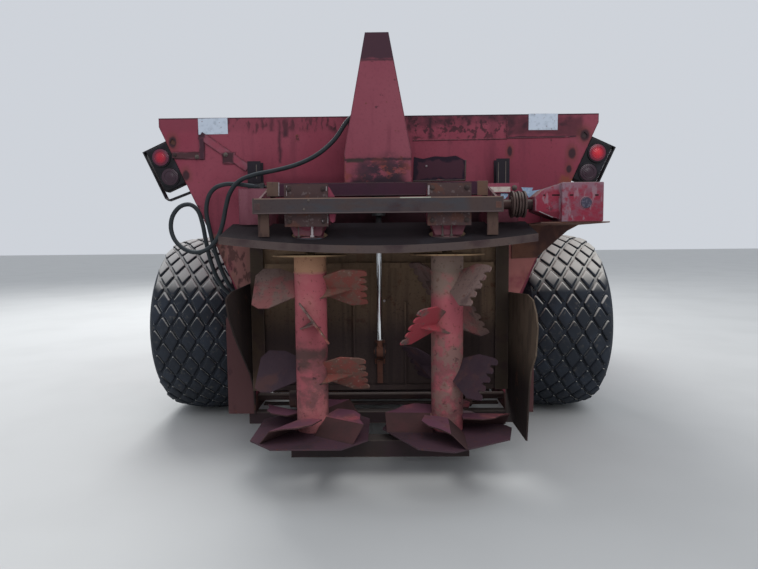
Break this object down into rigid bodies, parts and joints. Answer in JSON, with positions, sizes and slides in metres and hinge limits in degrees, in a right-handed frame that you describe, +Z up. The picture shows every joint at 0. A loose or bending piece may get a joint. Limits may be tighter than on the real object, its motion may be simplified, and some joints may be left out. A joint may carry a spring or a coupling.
{
  "type": "vertical-beater manure spreader",
  "caption": "Towed manure spreader with a V hopper, chain apron, hydraulic rear gate, upright paddle beaters with throwing discs, side drive shaft and large flotation tyres.",
  "frame": {"origin": "on the ground, below the middle of the length and width", "axes": "+Z up, +Y forward to the tongue, +X to the right as seen from behind"},
  "size_m": [3.36, 6.795, 2.447],
  "materials": {
    "panel_paint": "faded, chalky red paint with rust",
    "guard_paint": "worn bright red paint",
    "beater_paint": "worn red paint with rust and dry mud",
    "rust_paint": "rust over old red paint",
    "rusty_steel": "brown surface rust",
    "muddy_steel": "rust below dry manure",
    "chrome_rod": "bright",
    "tyre_rubber": "dusty",
    "hose_rubber": "matt",
    "black_paint": "worn black",
    "lens_plastic": "glossy"
  },
  "bodies": {
    "chassis": {"floor_pan": "rusty_steel", "side_left": "panel_paint", "side_right": "panel_paint", "front_wall": "panel_paint", "rear_panel": "panel_paint", "top_rails": "panel_paint", "stakes_left": "panel_paint", "stakes_right": "panel_paint", "rail_left": "rust_paint", "rail_right": "rust_paint", "cross_members": "rust_paint", "end_plate_left": "rust_paint", "end_plate_right": "rust_paint", "axle": "rusty_steel", "front_beam": "panel_paint", "tongue_left": "panel_paint", "tongue_right": "panel_paint", "hitch": "rust_paint", "jack_tube": "panel_paint", "drive_case": "guard_paint", "shaft_bearings": "rusty_steel", "drive_guard": "guard_paint", "drive_bracket": "rust_paint", "beater_beam": "rusty_steel", "gearbox_left": "rust_paint", "gearbox_right": "rust_paint", "hood": "rusty_steel", "hood_brackets": "panel_paint", "sill": "rust_paint", "shield_left": "muddy_steel", "shield_right": "muddy_steel", "gate_guides": "muddy_steel", "cylinder": "black_paint", "tower": "panel_paint", "tower_beam": "rust_paint", "lamp_left": "black_paint", "lamp_right": "black_paint", "lens_left": "lens_plastic", "lens_right": "lens_plastic", "apron": "rusty_steel", "apron_shafts": "rusty_steel", "hose_lift": "hose_rubber", "hose_return": "hose_rubber", "oil_lines": "rusty_steel"},
    "wheel_left": {"rim_left": "rust_paint", "tyre_left": "tyre_rubber"},
    "wheel_right": {"rim_right": "rust_paint", "tyre_right": "tyre_rubber"},
    "beater_right": {"beater_right": "beater_paint", "paddles_right": "muddy_steel"},
    "beater_left": {"beater_left": "beater_paint", "paddles_left": "muddy_steel"},
    "cross_shaft": {"cross_shaft": "rusty_steel"},
    "side_shaft": {"side_shaft": "rusty_steel"},
    "pto_shaft": {"pto_shaft": "rusty_steel"},
    "gate": {"gate": "muddy_steel", "rod": "chrome_rod"},
    "jack_leg": {"jack_leg": "rusty_steel"}
  },
  "joints": [
    {"name": "wheel_left_spin", "type": "hinge", "parent": "chassis", "child": "wheel_left", "pos_m": [-1.355, -1.3925, 0.69], "axis": [1, 0, 0], "continuous": true},
    {"name": "wheel_right_spin", "type": "hinge", "parent": "chassis", "child": "wheel_right", "pos_m": [1.355, -1.3925, 0.69], "axis": [1, 0, 0], "continuous": true},
    {"name": "beater_right_spin", "type": "hinge", "parent": "chassis", "child": "beater_right", "pos_m": [0.358, -3.0525, 0.8], "axis": [0, 0, 1], "continuous": true},
    {"name": "beater_left_spin", "type": "hinge", "parent": "chassis", "child": "beater_left", "pos_m": [-0.358, -3.0525, 0.8], "axis": [0, 0, 1], "continuous": true},
    {"name": "cross_shaft_spin", "type": "hinge", "parent": "chassis", "child": "cross_shaft", "pos_m": [0, -3.0525, 1.52], "axis": [1, 0, 0], "continuous": true},
    {"name": "side_shaft_spin", "type": "hinge", "parent": "chassis", "child": "side_shaft", "pos_m": [1.105, -0.6525, 1.52], "axis": [0, 1, 0], "continuous": true},
    {"name": "pto_shaft_spin", "type": "hinge", "parent": "chassis", "child": "pto_shaft", "pos_m": [0, 1.8275, 0.7], "axis": [0, 1, 0], "continuous": true},
    {"name": "gate_slide", "type": "slide", "parent": "chassis", "child": "gate", "axis": [0, 0, 1], "range_m": [0, 0.7]},
    {"name": "jack_slide", "type": "slide", "parent": "chassis", "child": "jack_leg", "axis": [0, 0, 1], "range_m": [0, 0.28]}
  ],
  "couplings": [
    {"joint": "beater_left_spin", "follows": "beater_right_spin", "ratio": -1},
    {"joint": "cross_shaft_spin", "follows": "beater_right_spin", "ratio": 1.5},
    {"joint": "side_shaft_spin", "follows": "beater_right_spin", "ratio": 1.5},
    {"joint": "pto_shaft_spin", "follows": "beater_right_spin", "ratio": 2.25}
  ]
}
